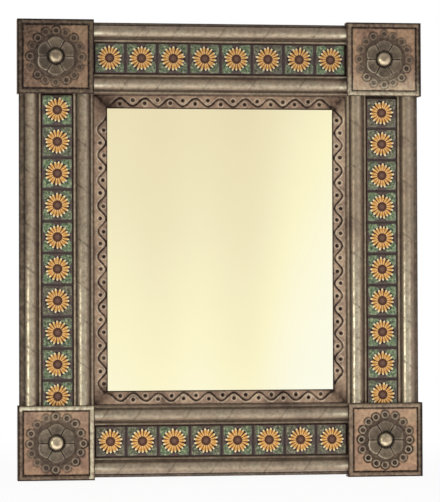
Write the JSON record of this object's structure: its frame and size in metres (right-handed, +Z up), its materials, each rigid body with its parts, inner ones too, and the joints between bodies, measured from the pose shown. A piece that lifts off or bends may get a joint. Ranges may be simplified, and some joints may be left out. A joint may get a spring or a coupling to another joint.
{
  "type": "tile framed mirror",
  "caption": "Upright rectangular wall mirror in an aged tin frame with rolled mouldings, sunflower tiles, square corner caps with rosettes, and a hanging ring at the back.",
  "frame": {"origin": "middle of the wall plane: the centre of the back of the frame, in the plane of its rear flanges", "axes": "+X to the right as seen from the front, +Y into the wall, +Z up; the mirror faces -Y"},
  "size_m": [0.6514, 0.0316, 0.7314],
  "materials": {
    "rail_tin": "rolled tin sheet, oxidised to a soft brown-grey, rubbed brighter on the rolls",
    "liner_tin": "stamped tin strip, oxidised, darker at its corners",
    "cap_tin": "stamped tin lid, warm brown patina",
    "rosette_tin": "pressed tin flower, dark grey-brown",
    "boss_metal": "domed stud, polished to a pale pewter",
    "mastic": "dull grey tile mastic",
    "tile_glaze": "hand painted glaze: yellow sunflower, green corner leaves, dark ground",
    "mirror_glass": "plain silvered glass",
    "backing_card": "plain brown card",
    "back_tin": "plain tin, dull with solder marks",
    "ring_wire": "bent steel wire, dull"
  },
  "bodies": {
    "mirror": {"rail_top": "rail_tin", "liner_top": "liner_tin", "rail_bottom": "rail_tin", "liner_bottom": "liner_tin", "rail_left": "rail_tin", "liner_left": "liner_tin", "rail_right": "rail_tin", "liner_right": "liner_tin", "cap_top_left": "cap_tin", "rosette_top_left": "rosette_tin", "cap_top_right": "cap_tin", "rosette_top_right": "rosette_tin", "cap_bottom_left": "cap_tin", "rosette_bottom_left": "rosette_tin", "cap_bottom_right": "cap_tin", "rosette_bottom_right": "rosette_tin", "rosette_bosses": "boss_metal", "tile_bedding": "mastic", "mirror_glass": "mirror_glass", "backing_card": "backing_card", "retaining_tabs": "back_tin", "corner_gussets": "back_tin", "hanger_strap": "back_tin", "tile_top_1": "tile_glaze", "tile_top_2": "tile_glaze", "tile_top_3": "tile_glaze", "tile_top_4": "tile_glaze", "tile_top_5": "tile_glaze", "tile_top_6": "tile_glaze", "tile_top_7": "tile_glaze", "tile_top_8": "tile_glaze", "tile_bottom_1": "tile_glaze", "tile_bottom_2": "tile_glaze", "tile_bottom_3": "tile_glaze", "tile_bottom_4": "tile_glaze", "tile_bottom_5": "tile_glaze", "tile_bottom_6": "tile_glaze", "tile_bottom_7": "tile_glaze", "tile_bottom_8": "tile_glaze", "tile_left_1": "tile_glaze", "tile_left_2": "tile_glaze", "tile_left_3": "tile_glaze", "tile_left_4": "tile_glaze", "tile_left_5": "tile_glaze", "tile_left_6": "tile_glaze", "tile_left_7": "tile_glaze", "tile_left_8": "tile_glaze", "tile_left_9": "tile_glaze", "tile_left_10": "tile_glaze", "tile_right_1": "tile_glaze", "tile_right_2": "tile_glaze", "tile_right_3": "tile_glaze", "tile_right_4": "tile_glaze", "tile_right_5": "tile_glaze", "tile_right_6": "tile_glaze", "tile_right_7": "tile_glaze", "tile_right_8": "tile_glaze", "tile_right_9": "tile_glaze", "tile_right_10": "tile_glaze"},
    "hanging_ring": {"hanger_ring": "ring_wire"}
  },
  "joints": [
    {"name": "ring_swing", "type": "hinge", "parent": "mirror", "child": "hanging_ring", "pos_m": [0, -0.0044, 0.3065], "axis": [1, 0, 0], "range_deg": [0, 180]}
  ]
}
